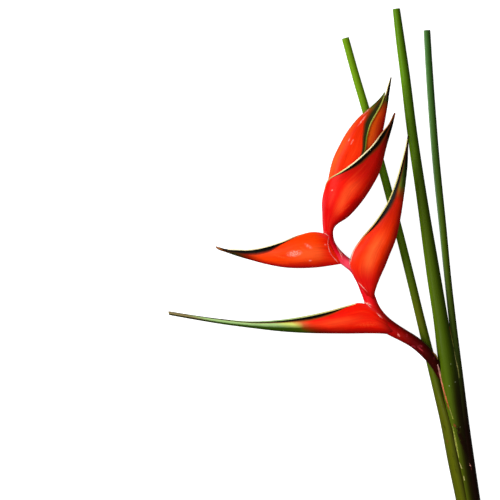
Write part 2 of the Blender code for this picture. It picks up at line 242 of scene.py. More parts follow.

# Each row: keel x, keel y, margin x, margin y, half width, mouth share, rim mm, dark band mm, colour stage.
# flank, keel tint: colours of the side and of the keel, which ends at the share keelTo of the way to the margin.
# The keel colour is the bract's own deeper red with painted shade on it, and on bract 5 a painted sheen.
# crown stripe, the bract's own orange with a painted highlight: its middle and half width as such shares, the stage
# where it ends, strength.
# crownStart: mm from the base where the stripe has begun. seat: colour of the base, its reach in mm, strength.
# flush: colour round the base, its reach in mm at the keel and at the margin, share of pink at the margin.
# dusk: the stages where the flank starts and stops to deepen, strength.
# turn: how the colour changes to the tip, with alpha. stageTilt: how far the keel is ahead of the margin in that.
# shade: painted shade on the turned colours at the keel. rim: its colours by stage. band: the dark band, its soft
# border.
# marks: x, y, half length, half width, degrees, strength, colour; on the bracts they are painted glints and painted
# highlight streaks.
bracts = {
    "bract1": {
        "node": "bract_1",
        "rows": [
            (397, 163.4, 391, 177, 5, 0.75, 0, 0, 0), (386, 166.2, 380.5, 186, 7.9, 0.75, 0, 0, 0.03),
            (376, 166.8, 370, 194, 9.6, 0.72, 0, 0, 0.06), (364, 166.8, 359.5, 196.7, 11, 0.64, 0, 0, 0.13),
            (352, 166.6, 348, 194.2, 11.8, 0.55, 0.2, 0.3, 0.22),
            (333, 166.6, 330, 189.2, 10.6, 0.5, 0.5, 2.8, 0.32),
            (309, 166.9, 305, 183.6, 7.8, 0.5, 0.7, 3.4, 0.42),
            (282.4, 168.4, 280, 179.8, 5.4, 0.55, 0.5, 2, 0.55),
            (251.8, 171.8, 250, 178.2, 3.5, 0.7, 0.2, 1, 0.68), (221, 175.8, 220, 180.6, 2.5, 0.85, 0, 0.4, 0.78),
            (190.6, 180.8, 190.5, 184.6, 2, 0.9, 0, 0, 0.9), (168.6, 184.7, 168, 188.1, 1.3, 0.9, 0, 0, 1),
        ],
        "stageTilt": 0.11,
        "flank": "scarlet",
        "keelTo": 0.4,
        "crown": (0.46, 0.26, 0.45, 0.45),
        "flush": ("scarlet", 70, 28, 0.3),
        "seat": ("maroon", 24, 1),
        "turn": [
            (0.36, "orange", 0), (0.43, "tan", 0.6), (0.49, "lime", 1), (0.56, "leaf", 1), (0.8, "leaf", 1),
            (0.89, "fade", 1),
        ],
        "shade": "#485C10",
        "rim": [(0.3, "straw"), (0.55, "leaf")],
        "band": ("night", "husk"),
        "marks": [(379, 184.8, 3.6, 0.8, -45, 0.55, "rubbed"), (366, 176, 14, 3, 4, 0.3, "crown")],
    },
    "bract2": {
        "node": "bract_2",
        "rows": [
            (374.4, 196.5, 370.5, 198.5, 3, 0.8, 0, 0, 0), (374.6, 207.5, 362, 211, 7.2, 0.9, 0, 0, 0.06),
            (379.3, 221.5, 353.5, 224.5, 9.4, 0.88, 0, 0, 0.13), (384.4, 233, 350.2, 236, 11, 0.78, 0, 0, 0.2),
            (389, 244.5, 352.8, 247.8, 11.8, 0.62, 0.4, 0, 0.3),
            (394.8, 259, 361.4, 261.5, 11, 0.52, 0.8, 0.2, 0.4),
            (399.3, 278, 374.2, 277, 8.9, 0.5, 0.6, 3.6, 0.5), (402.3, 296, 386.4, 295.5, 6.4, 0.55, 0.5, 5, 0.6),
            (405, 316, 395, 316, 4.2, 0.65, 0.4, 3.2, 0.75), (407, 335, 401, 336.5, 2.7, 0.8, 0.3, 1.8, 0.9),
            (407.6, 352, 405.2, 353, 1.6, 0.9, 0.2, 0.6, 0.96), (408.2, 363, 407.2, 363.6, 0.8, 0.9, 0, 0, 1),
        ],
        "stageTilt": 0.04,
        "flank": "flame",
        "crown": (0.5, 0.28, 0.5, 0.95),
        "crownStart": 42,
        "flush": ("ruby", 40, 38, 0.12),
        "seat": ("keel", 16, 0.9),
        "dusk": (0.38, 0.6, 0.75),
        "turn": [
            (0.62, "dusk", 0), (0.68, "rust", 0.8), (0.74, "olive", 1), (0.82, "moss", 1), (0.93, "night", 1),
            (1, "umber", 1),
        ],
        "rim": [(0.28, "rubbed"), (0.4, "tan"), (0.52, "straw")],
        "band": ("night", "bark"),
    },
    "bract3": {
        "node": "bract_3",
        "rows": [
            (341.6, 236.2, 331.2, 254.8, 4.2, 0.6, 0, 0, 0), (333, 234.8, 326.4, 264.4, 7.4, 0.58, 0, 0, 0.08),
            (321, 233, 315.5, 267.6, 11, 0.5, 0, 0, 0.18), (303, 231.8, 299, 264.6, 13, 0.46, 0.5, 0, 0.3),
            (285.4, 232.4, 283, 258.6, 11.2, 0.46, 0.6, 1.4, 0.42),
            (267.5, 235.5, 266.5, 253.4, 8, 0.5, 0.6, 4.6, 0.55),
            (249.6, 240.2, 249.5, 250.2, 4.9, 0.62, 0.5, 3.8, 0.68),
            (236, 244.2, 236, 250.3, 3, 0.8, 0.4, 2.6, 0.82), (225, 248, 225, 250.8, 1.6, 0.9, 0, 1.4, 0.92),
            (219, 250, 219.2, 252.4, 1.1, 0.9, 0, 0, 0.97), (215.8, 252, 215.6, 253.6, 0.8, 0.9, 0, 0, 1),
        ],
        "stageTilt": 0.05,
        "flank": "orange",
        "keelTintShadeAndSheen": "ruby",
        "crown": (0.42, 0.34, 0.44, 0.7),
        "flush": ("scarlet", 20, 20, 0.3),
        "turn": [
            (0.58, "rust", 0), (0.7, "dusk", 0.8), (0.78, "husk", 1), (0.84, "moss", 1), (0.94, "husk", 1),
            (0.97, "tan", 1), (1, "scar", 1),
        ],
        "rim": [(0.2, "crown"), (0.32, "tan"), (0.44, "cream")],
        "band": ("night", "umber"),
        "marks": [
            (294, 246.5, 8.5, 3.6, 8, 0.75, "rubbed"), (303.5, 250.5, 7, 1, -34, 0.5, "crown"),
            (308, 254, 5, 2.2, -30, 0.4, "rubbed"), (310, 239.5, 2, 1, 10, 0.7, "rubbed"),
            (325, 255.5, 1, 1.2, 0, 0.6, "rubbed"), (281, 243, 12, 1.6, -14, 0.4, "crown"),
        ],
    },
    "bract4": {
        "node": "bract_4",
        "rows": [
            (332.4, 262, 324.6, 263, 3.6, 0.6, 0, 0, 0), (333.5, 270.2, 323.2, 271.6, 5.6, 0.52, 0, 0, 0.05),
            (338.2, 276.4, 322.4, 287, 8.4, 0.38, 0, 0, 0.12), (346.2, 281.5, 322.2, 297, 11.2, 0.34, 0, 0, 0.2),
            (355.4, 290.5, 324.2, 308.5, 13.2, 0.38, 0, 0, 0.3),
            (365, 302.7, 328.5, 320.2, 14, 0.52, 0.6, 0, 0.4),
            (372.2, 314, 340, 327.7, 13.8, 0.86, 1.2, 1.6, 0.5),
            (378.3, 325.4, 352, 336, 12.8, 0.95, 1.2, 4.2, 0.58), (382.4, 337.6, 363, 345.4, 11.2, 1, 1, 5, 0.66),
            (385.8, 351.5, 373, 355.5, 8.7, 1, 0.9, 4.8, 0.76), (388.8, 362.2, 381, 366.2, 5.6, 1, 0.6, 4, 0.85),
            (391.8, 372.5, 387.7, 374.2, 2.9, 0.95, 0.2, 1.6, 0.93), (395, 386, 394, 386.7, 0.9, 0.9, 0, 0, 1),
        ],
        "stageTilt": 0.04,
        "flank": "scarlet",
        "crown": (0.42, 0.24, 0.56, 0.6),
        "flush": ("ruby", 26, 40, 0.6),
        "dusk": (0.38, 0.62, 0.85),
        "turn": [
            (0.62, "dusk", 0), (0.78, "umber", 0.6), (0.86, "umber", 1), (0.92, "night", 1), (0.965, "night", 1),
            (0.985, "rust", 1), (1, "scar", 1),
        ],
        "rim": [(0.38, "tan"), (0.5, "straw"), (0.58, "cream"), (0.76, "cream"), (0.88, "tan")],
        "band": ("night", "bark"),
        "marks": [
            (331.6, 309.5, 1.3, 0.9, 30, 0.7, "rubbed"), (344, 291, 9, 1.6, 42, 0.3, "crown"),
        ],
    },
    "bract5": {
        "node": "bract_5",
        "rows": [
            (329.5, 286, 331.8, 285, 1.5, 0.8, 0, 0, 0.05), (326.8, 297, 337, 293, 5.2, 0.7, 0, 0, 0.12),
            (326.6, 308, 345, 302, 7.6, 0.75, 0, 0.2, 0.2), (328.4, 323, 350, 316, 9, 0.85, 0.4, 1, 0.28),
            (332.8, 340.8, 356, 332, 9.6, 0.92, 0.5, 1.4, 0.38),
            (339.3, 354.8, 363.5, 345.5, 9.2, 0.92, 0.6, 2.4, 0.48),
            (347.9, 369.6, 366.5, 363.5, 8, 0.95, 0.7, 3.6, 0.58),
            (358, 382, 370.5, 376.5, 6.6, 1, 0.8, 5.2, 0.7), (368.4, 391, 376.3, 386.6, 5.2, 1, 0.9, 4.6, 0.84),
            (377.4, 399.3, 381.4, 396.3, 4, 1, 0.9, 2.6, 0.95), (381.4, 403.9, 383.4, 402, 2.8, 1, 0.8, 0.6, 1),
            (383.9, 407.4, 384.5, 406.8, 1, 0.9, 0.3, 0, 1),
        ],
        "stageTilt": -0.05,
        "flank": "flame",
        "keelTintShadeAndSheen": "crown",
        "keelTo": 0.22,
        "crown": (0.14, 0.2, 0.72, 0.35),
        "dusk": (0.4, 0.75, 0.3),
        "turn": [
            (0.7, "rust", 0), (0.8, "rust", 0.8), (0.86, "olive", 1), (0.93, "moss", 1), (1, "olive", 1),
        ],
        "shade": "#C8C8B0",
        "rim": [(0.4, "husk"), (0.56, "olive"), (0.68, "ridge"), (1, "ridge")],
        "band": ("thicket", "bark"),
        "marks": [
            (351.4, 357.5, 3.4, 1, 62, 0.6, "rubbed"), (348.5, 359.5, 2.6, 0.8, 60, 0.5, "rubbed"),
            (361.6, 379, 8, 0.9, 52, 0.8, "rubbed"), (366, 388, 7, 0.8, 46, 0.7, "rubbed"),
            (337.5, 344, 9, 1.2, 62, 0.5, "crown"),
        ],
    },
    "bract6": {
        "node": "bract_6",
        "rows": [
            (336.6, 298, 334.2, 299.6, 1.1, 0.6, 0, 0, 0.1), (343, 304, 334.5, 312, 3.2, 0.4, 0, 0, 0.15),
            (353, 314, 337.5, 323, 5, 0.35, 0, 0, 0.22), (365, 328, 342.5, 337, 6.4, 0.35, 0, 0, 0.32),
            (374, 342, 350.5, 351.5, 6.8, 0.35, 0, 0.2, 0.42), (379.8, 357, 357, 363.5, 6.4, 0.35, 0.3, 0.8, 0.5),
            (383.4, 373, 363, 378.5, 5.2, 0.35, 0.5, 1.8, 0.58),
            (385.9, 386, 371, 388, 3.7, 0.35, 0.5, 2.6, 0.66), (387.8, 397.5, 380.6, 397, 2.4, 0.4, 0.2, 2, 0.8),
            (388.8, 405.5, 385, 404.5, 1.9, 0.5, 0.3, 0.8, 0.88),
            (389.9, 412.5, 387, 411.8, 1.5, 0.8, 0.2, 0.4, 0.94), (391.2, 422, 390.3, 422.2, 0.8, 0.9, 0, 0, 1),
        ],
        "stageTilt": 0.03,
        "keelTintShadeAndSheen": "keel",
        "keelTo": 0.8,
        "flank": "ochre",
        "crown": (0.3, 0.25, 0.6, 0.1),
        "turn": [
            (0.64, "dusk", 0), (0.76, "husk", 0.7), (0.82, "moss", 1), (0.87, "night", 1), (0.97, "night", 1),
            (1, "fade", 1),
        ],
        "rim": [(0.5, "olive"), (0.9, "straw")],
        "band": ("night", "husk"),
    },
}


def headHeight(x):
    run = headPlane["nodeX"] - x
    return headPlane["height"] - headPlane["fall"] * run + headPlane["lift"] * run * run


def bractSection(row):
    # ring of points with their marks: share across from the keel, side, inside, mm from the margin
    keelX, keelY, marginX, marginY, halfWidth, mouth = row[:6]
    shape = bractShape
    depth = math.hypot(marginX - keelX, marginY - keelY)
    way = ((marginX - keelX) / depth, (marginY - keelY) / depth)
    wall = min(shape["wall"], shape["tipWall"] * 2 * halfWidth * min(1.0, mouth))
    rimWall = min(shape["rimWall"], wall)
    keelWall = min(shape["wall"], shape["tipWall"] * depth)
    keelShare = shape["keelShare"]
    turn = math.radians(shape["sideTurn"])
    half = []
    for i in range(shape["keelSteps"]):
        angle = 0.5 * math.pi * i / shape["keelSteps"]
        half.append((keelShare * (1 - math.cos(angle)), math.sin(angle)))
    for i in range(shape["sideSteps"] + 1):
        angle = turn * i / shape["sideSteps"]
        share = keelShare + (1 - keelShare) * math.sin(angle) / math.sin(turn)
        bend = (math.cos(angle) - math.cos(turn)) / (1 - math.cos(turn))
        half.append((share, mouth + (1 - mouth) * bend))

    def lipOut(share):
        near = max(0.0, 1 - depth * (1 - share) / shape["lipReach"])
        return min(shape["lip"], shape["lipShare"] * halfWidth) * near**2

    outer, inner = [], []
    for share, width in half:
        outer.append((depth * share, halfWidth * width + lipOut(share), share))
        thin = wall if share < keelShare else wall + (rimWall - wall) * (share - keelShare) / (1 - keelShare)
        under = (halfWidth - wall) * width if share < keelShare else halfWidth * width + lipOut(share) - thin
        inner.append((keelWall + (depth - keelWall) * share, under, share))
    rim = []
    top = outer[-1][1]
    for degrees in shape["rimTurn"]:
        angle = math.radians(degrees)
        rim.append((depth + 0.5 * rimWall * math.sin(angle), top - 0.5 * rimWall * (1 - math.cos(angle)), 1.0))

    ring = []
    for places, side, inside in (
            (reversed(outer), 1, 0.0), (outer[1:], -1, 0.0), (rim, -1, 0.0),
            (reversed(inner), -1, 1.0), (inner[1:], 1, 1.0), (reversed(rim), 1, 0.0)):
        for along, width, share in places:
            x = keelX + way[0] * along
            y = keelY + way[1] * along
            point = onPart(x, y, max(0.0, headHeight(x) + side * width))
            ring.append((point, share, side * width / halfWidth, inside, max(0.0, depth - along)))
    return ring


def bractMesh(name, bract):
    rows = smoothRows(bract["rows"], bractShape["stations"], 4)
    points, surface, edge, stage = [], [], [], []
    run = 0.0
    far = 9.0
    for i, row in enumerate(rows):
        if i:
            run += math.dist(row[:2], rows[i - 1][:2])
        rimMm = max(0.0, row[6])
        bandMm = max(0.0, row[7])
        ring = bractSection(row)
        for point, share, side, inside, margin in ring:
            points.append(point)
            surface += (run, share, side)
            rimRatio = margin / rimMm if rimMm > bractShape["thinnest"] else far
            bandRatio = (margin - rimMm) / bandMm if bandMm > bractShape["thinnest"] else far
            edge += (min(far, rimRatio), min(far, bandRatio), inside)
            stage.append(row[8])
    count = len(ring)
    faces = []
    for i in range(len(rows) - 1):
        for j in range(count):
            k = (j + 1) % count
            faces.append((i * count + j, i * count + k, (i + 1) * count + k, (i + 1) * count + j))
    # the two ends close between the outer and the inner line
    outerCount = 2 * (bractShape["keelSteps"] + bractShape["sideSteps"]) + 1
    for first in (0, (len(rows) - 1) * count):
        left = range(first, first + outerCount)
        right = range(first + count - 4, first + outerCount + 2, -1)
        for a in range(outerCount - 1):
            faces.append((left[a], left[a + 1], right[a + 1], right[a]))
        faces.append((left[0], right[0], *range(first + count - 3, first + count)))
        faces.append((left[-1], *range(first + outerCount, first + outerCount + 3), right[-1]))
    mesh = bpy.data.meshes.new(name)
    mesh.from_pydata(points, [], faces)
    keepVectors(mesh, "surfacePlace", surface)
    keepVectors(mesh, "edgePlace", edge)
    mesh.attributes.new("stage", "FLOAT", "POINT").data.foreach_set("value", stage)
    closeMesh(mesh)
    return mesh


bractFinish = {                 # what a bract has if it names no other
    "keelTintShadeAndSheen": "keel",
    "keelTo": 0.30,
    "crownStart": 0.01,
    "shade": "#8C8C8C",
    "inner": "#F4B074",
    "marks": [],
    "streak": ("crimson", 0.32),        # soft blotches of a deeper and of a lighter red, with their strengths
    "glow": ("crown", 0.14),
    "wander": (0.012, 0.12),            # borders wander over 12 mm, by this share of the depth
    "crownFade": 0.16,
    "streakScale": (1 / 40, 9.0, 1.0),  # 40 mm long, a ninth of the depth wide
    "veinScale": (1 / 25, bractShape["veins"], 1.0),
    "veinRelief": 0.00012,
    "slow": (0.007, 0.0005),            # slow unevenness of the flank: its size and its relief
}
bractShine = {"Roughness": 0.42, "Specular IOR Level": 0.035, "Coat Weight": 0.02, "Coat Roughness": 0.22}
markBox = {"height": 30.0, "depth": 22.0}       # the marks are on the upper side


def tint(name, alpha=1.0):
    return paint(heliconia[name], alpha)


def tintStops(stops):
    return [(place, heliconia[name], *alpha) for place, name, *alpha in stops]


def addMarks(add, coords, under, marks):
    # marks over a colour, rubbed spots, scratches and specks and also painted glints, highlights and shade: x, y,
    # half length, half width, degrees, strength, colour
    grain = add("TexNoise", {}, [coords, 1 / 0.0014, 3.0])
    broken = add("MapRange", {}, [grain, 0.36, 0.62])
    for x, y, long, wide, degrees, strength, colour in marks:
        place = add("Mapping", {"vector_type": "TEXTURE"}, [
            coords, onPart(x, y, markBox["height"]), (0.0, 0.0, math.radians(degrees)),
            (long * mm, wide * mm, markBox["depth"] * mm)])
        away = add("VectorMath", "LENGTH", [place])
        near = add("MapRange", softStep, [away, 1.15, 0.35, 0.0, strength])
        under = add("Mix", colourMix, [add("Math", "MULTIPLY", [near, broken]), under, tint(colour)])
    return under


def waxyBractSkin(name, bract):
    # Living bract tissue under a thin plant wax: satin gloss, fine lengthwise veins, soft blotches of red; a
    # painted highlight along the crown, painted glints, painted shade at the keel
    finish = {**bractFinish, **bract}
    material, add, coords = newSkin(name)
    surface = (add("Attribute", {"attribute_name": "surfacePlace"}), "Vector")
    run, share = splitVector(add, surface)[:2]
    rimPlace, bandPlace, inner = splitAttribute(add, "edgePlace")
    stage = (add("Attribute", {"attribute_name": "stage"}), "Fac")

    wanderSize, wanderBy = finish["wander"]
    wander = add("TexNoise", {}, [coords, 1 / wanderSize, 2.0])
    centred = add("Math", "SUBTRACT", [wander, 0.5])
    across = add("Math", "MULTIPLY_ADD", [centred, wanderBy, share])
    # the keel tint: the bract's own deeper red with painted shade, on bract 5 a painted sheen
    keelShare = add("MapRange", softStep, [across, 0.0, finish["keelTo"]])
    body = add("Mix", colourMix, [keelShare, tint(finish["keelTintShadeAndSheen"]), tint(bract["flank"])])
    # a bright stripe along the crown of the flank, the bract's own orange with a painted highlight
    crownAt, crownWide, crownTo, crownStrength = bract["crown"]
    crownAway = add("Math", "ABSOLUTE", [add("Math", "SUBTRACT", [across, crownAt])])
    crownHighlightNear = add("MapRange", softStep, [crownAway, crownWide, 0.0, 0.0, crownStrength])
    crownEnds = add("MapRange", softStep, [stage, crownTo, crownTo - finish["crownFade"]])
    crownBegins = add("MapRange", softStep, [run, 0.3 * finish["crownStart"], finish["crownStart"]])
    crownSpan = add("Math", "MULTIPLY", [crownBegins, crownEnds])
    body = add("Mix", colourMix, [add("Math", "MULTIPLY", [crownHighlightNear, crownSpan]), body, tint("crown")])
    if "flush" in bract:
        rootColour, keelReach, marginReach, pinkAmount = bract["flush"]
        reach = add("Math", "MULTIPLY_ADD", [share, marginReach - keelReach, keelReach])
        rootNear = add("MapRange", softStep, [add("Math", "DIVIDE", [run, reach]), 1.2, 0.5])
        keelKept = add("MapRange", {}, [keelShare, 0.0, 1.0, 0.25, 0.9])
        root = tintWhere(add, tint(rootColour), tint("pink"), across, 0.82, 1.0, pinkAmount)
        body = add("Mix", colourMix, [add("Math", "MULTIPLY", [rootNear, keelKept]), body, root])
    if "seat" in bract:
        seatColour, seatReach, seatStrength = bract["seat"]
        body = tintWhere(add, body, tint(seatColour), run, seatReach, 0.0, seatStrength)
    if "dusk" in bract:
        body = tintWhere(add, body, tint("dusk"), stage, *bract["dusk"])

    streakPlace = add("VectorMath", "MULTIPLY", [surface, finish["streakScale"]])
    streak = add("TexNoise", {}, [streakPlace, 1.0, 3.0])
    for (colour, strength), start, end in ((finish["streak"], 0.50, 0.75), (finish["glow"], 0.46, 0.26)):
        body = tintWhere(add, body, tint(colour), streak, start, end, strength, {})

    # colour stages towards the tip, further on along the keel, with painted shade at the keel and a little at the
    # margin
    tilted = add("Math", "MULTIPLY_ADD", [share, -bract["stageTilt"], stage])
    centredStage = add("Math", "ADD", [tilted, 0.5 * bract["stageTilt"]])
    wanderedStage = add("Math", "MULTIPLY_ADD", [centred, 0.05, centredStage])
    stages = add("ValToRGB", {}, [wanderedStage], tintStops(bract["turn"]))
    tone = add("ValToRGB", {}, [across], [(0.0, finish["shade"]), (0.34, finish["shade"]), (0.62, "#FFFFFF"),
                                          (0.82, "#FFFFFF"), (1.0, "#A8AC98")])
    stageColour = add("Mix", toneMix, [1.0, stages, tone])
    body = add("Mix", colourMix, [(stages, "Alpha"), body, stageColour])

    veinPlace = add("VectorMath", "MULTIPLY", [surface, finish["veinScale"]])
    veins = add("TexNoise", {}, [veinPlace, 1.0, 4.0, 0.6])
    body = shadeWhere(add, body, veins, 0.3, 0.7, 0.84, 1.04)
    body = addMarks(add, coords, body, finish["marks"])

    # dark band under the margin, with a soft lower border, and the pale rim
    bandNoise = add("Math", "MULTIPLY_ADD", [centred, 0.35, bandPlace])
    dark, soft = bract["band"]
    band = add("ValToRGB", {}, [add("Math", "MULTIPLY", [bandNoise, 0.75])],
               tintStops([(0.0, dark, 1.0), (0.5, dark, 1.0), (0.76, soft, 0.8), (1.0, soft, 0.0)]))
    body = add("Mix", colourMix, [(band, "Alpha"), body, band])
    rimColour = add("ValToRGB", {}, [stage], tintStops(bract["rim"]))
    body = tintWhere(add, body, rimColour, rimPlace, 1.15, 0.7, 1.0, {})
    body = add("Mix", colourMix, [inner, body, paint(finish["inner"])])
    veinBump = add("Bump", {}, {"Height": veins, "Strength": 0.35, "Distance": finish["veinRelief"]})
    slowSize, slowRelief = finish["slow"]
    slow = add("TexNoise", {}, [coords, 1 / slowSize, 1.0])
    relief = add("Bump", {}, {"Height": slow, "Strength": 0.4, "Distance": slowRelief, "Normal": veinBump})
    return finishSkin(material, body, relief, bractShine)


for bractName, bract in bracts.items():
    mesh = bractMesh(bractName, bract)
    mesh.materials.append(waxyBractSkin(bractName + "WaxySkin", bract))
    newPiece(bractName, mesh, [bract["node"]], "bract_skin")
print("bracts made:", len(bracts))


# Stalks
def makeStalkTree():
    # sweeps an oval section along a path whose points carry its sizes, and keeps each point's place for the skin
    tree = bpy.data.node_groups.new("growStalk", "GeometryNodeTree")
    add = partial(addNode, tree)
    wanted = {
        "Geometry": "Geometry", "stations": "Int", "sides": "Int", "ribs": "Int", "ribDepth": "Float",
        "unevenness": "Float", "seed": "Int", "skin": "Material",
    }
    for name, kind in wanted.items():
        tree.interface.new_socket(name=name, in_out="INPUT", socket_type="NodeSocket" + kind)
    tree.interface.new_socket(name="Geometry", in_out="OUTPUT", socket_type="NodeSocketGeometry")
    start = add("NodeGroupInput")
    columns = add("Math", "ADD", [(start, "sides"), 1.0])
    grid = add("GeometryNodeMeshGrid", {}, [1.0, 1.0, (start, "stations"), columns])
    here = add("GeometryNodeInputPosition")
    along, around = splitVector(add, add("VectorMath", "ADD", [here, (0.5, 0.5, 0.0)]))[:2]
    lastStation = add("Math", "SUBTRACT", [(start, "stations"), 1.0])
    station = add("Math", "ROUND", [add("Math", "MULTIPLY", [along, lastStation])])
    angle = add("Math", "MULTIPLY", [around, 2 * math.pi])
    cosine = add("Math", "COSINE", [angle])
    sine = add("Math", "SINE", [angle])
    fields = {"centre": here}
    for name in ("across", "size", "mark"):
        fields[name] = add("GeometryNodeInputNamedAttribute", {"data_type": "FLOAT_VECTOR"}, {"Name": name})
    sampled = {}
    for name, field in fields.items():
        sampled[name] = add("GeometryNodeSampleIndex", pointVector, [(start, "Geometry"), field, station])
    halfWidth, halfHeight, floor = splitVector(add, sampled["size"])
    mark = splitVector(add, sampled["mark"])[0]

    # ribs and a slow unevenness, as shares of the radius
    ribWave = add("Math", "COSINE", [add("Math", "MULTIPLY", [angle, (start, "ribs")])])
    rib = add("Math", "MULTIPLY", [ribWave, (start, "ribDepth")])
    alongNoise = add("Math", "MULTIPLY_ADD", [mark, 0.035, (start, "seed")])
    noise = add("TexNoise", {}, [add("CombineXYZ", {}, [cosine, sine, alongNoise]), 1.0, 2.0])
    centred = add("Math", "SUBTRACT", [noise, 0.5])
    uneven = add("Math", "MULTIPLY_ADD", [centred, (start, "unevenness"), rib])
    grown = add("Math", "ADD", [uneven, 1.0])
    wide = add("Math", "MULTIPLY", [add("Math", "MULTIPLY", [halfWidth, grown]), cosine])
    tall = add("Math", "MULTIPLY", [add("Math", "MULTIPLY", [halfHeight, grown]), sine])
    sideways = add("VectorMath", "SCALE", [sampled["across"], wide])
    offset = add("VectorMath", "ADD", [sideways, add("CombineXYZ", {}, [0.0, 0.0, tall])])
    x, y, z = splitVector(add, add("VectorMath", "ADD", [sampled["centre"], offset]))
    settled = add("CombineXYZ", {}, [x, y, add("Math", "MAXIMUM", [z, floor])])

    made = grid
    for name, value in (("skinRound", add("CombineXYZ", {}, [cosine, sine])), ("skinMark", sampled["mark"])):
        made = add("GeometryNodeStoreNamedAttribute", pointVector, {"Geometry": made, "Name": name, "Value": value})
    made = add("GeometryNodeSetPosition", {}, {"Geometry": made, "Position": settled})
    made = add("GeometryNodeMergeByDistance", {}, {"Geometry": made, "Distance": 0.008 * mm})
    made = add("GeometryNodeSetShadeSmooth", {}, {"Geometry": made})
    made = add("GeometryNodeRealizeInstances", {}, {"Geometry": made})
    made = add("GeometryNodeSetMaterial", {}, {"Geometry": made, "Material": (start, "skin")})
    add("NodeGroupOutput", {}, {"Geometry": made})
    return tree


def runTree(mesh, tree, values):
    # the plain mesh that a tree makes of this one; the values are those of its sockets
    holder = newObject("holder", mesh)
    modifier = holder.modifiers.new(tree.name, "NODES")
    modifier.node_group = tree
    for item in tree.interface.items_tree:
        if item.item_type == "SOCKET" and item.in_out == "INPUT" and item.name in values:
            modifier[item.identifier] = values[item.name]
    bpy.context.view_layer.update()
    graph = bpy.context.evaluated_depsgraph_get()
    made = bpy.data.meshes.new_from_object(holder.evaluated_get(graph), preserve_all_data_layers=True,
                                           depsgraph=graph)
    holder.modifiers.clear()
    bpy.data.objects.remove(holder, do_unlink=True)
    return made


def pathMesh(name, rows):
    # rows: x, y, height, half width, half height, floor, mark along, cap, share of the radius, across x, across y
    mesh = bpy.data.meshes.new(name)
    mesh.from_pydata([onPart(*row[:3]) for row in rows], [(i, i + 1) for i in range(len(rows) - 1)], [])
    size, mark, across = [], [], []
    for row in rows:
        size += (row[3] * mm, row[4] * mm, row[5] * mm)
        mark += row[6:9]
        across += (row[9], row[10], 0.0)
    keepVectors(mesh, "size", size)
    keepVectors(mesh, "mark", mark)
    keepVectors(mesh, "across", across)
    return mesh


# a closed end: share of the radius, step out in bevels, step out in dishes, 1 on the cut face
endProfile = (
    (1.0, -1.0, 0.0, 0.0), (0.985, -0.35, 0.0, 0.0), (0.95, 0.0, 0.0, 1.0), (0.85, 0.0, -0.1, 1.0),
    (0.7, 0.0, -0.3, 1.0), (0.5, 0.0, -0.55, 1.0), (0.25, 0.0, -0.85, 1.0), (0.0, 0.0, -1.0, 1.0),
)


def withEnds(rows, look):
    # rows of x, y, height, half width, half height, floor, mark: adds the sideways direction and two closed ends
    full = []
    for i, row in enumerate(rows):
        before = rows[max(0, i - 1)]
        after = rows[min(len(rows) - 1, i + 1)]
        run = math.hypot(after[0] - before[0], after[1] - before[1])
        full.append((*row, 0.0, 1.0, (after[1] - before[1]) / run, (before[0] - after[0]) / run))

    def endRows(end, beside, back):
        run = math.hypot(end[0] - beside[0], end[1] - beside[1])
        out = ((end[0] - beside[0]) / run, (end[1] - beside[1]) / run)
        made = []
        for share, bevels, dishes, cap in endProfile:
            step = -back + (look["bevel"] * bevels + look["dish"] * dishes)
            made.append((end[0] + out[0] * step, end[1] + out[1] * step, end[2], end[3] * share, end[4] * share,
                         end[5], end[6], cap, share, end[9], end[10]))
        return made

    head = endRows(full[0], full[1], 0.0)
    foot = endRows(full[-1], full[-2], look.get("setBack", 0.0))
    return list(reversed(head)) + full[1:-1] + foot


stalkTree = makeStalkTree()


def growStalk(name, rows, look, skin):
    rows = withEnds(rows, look)
    mesh = runTree(pathMesh(name, rows), stalkTree, {**look, "stations": len(rows), "skin": skin})
    mesh.name = name
    closeMesh(mesh)
    return mesh


def lengthNoise(add, across, up, along, scale, detail, roughness):
    # streaks along a stalk
    place = add("CombineXYZ", {}, [across, up, along])
    return add("TexNoise", {}, [add("VectorMath", "MULTIPLY", [place, scale]), 1.0, detail, roughness])


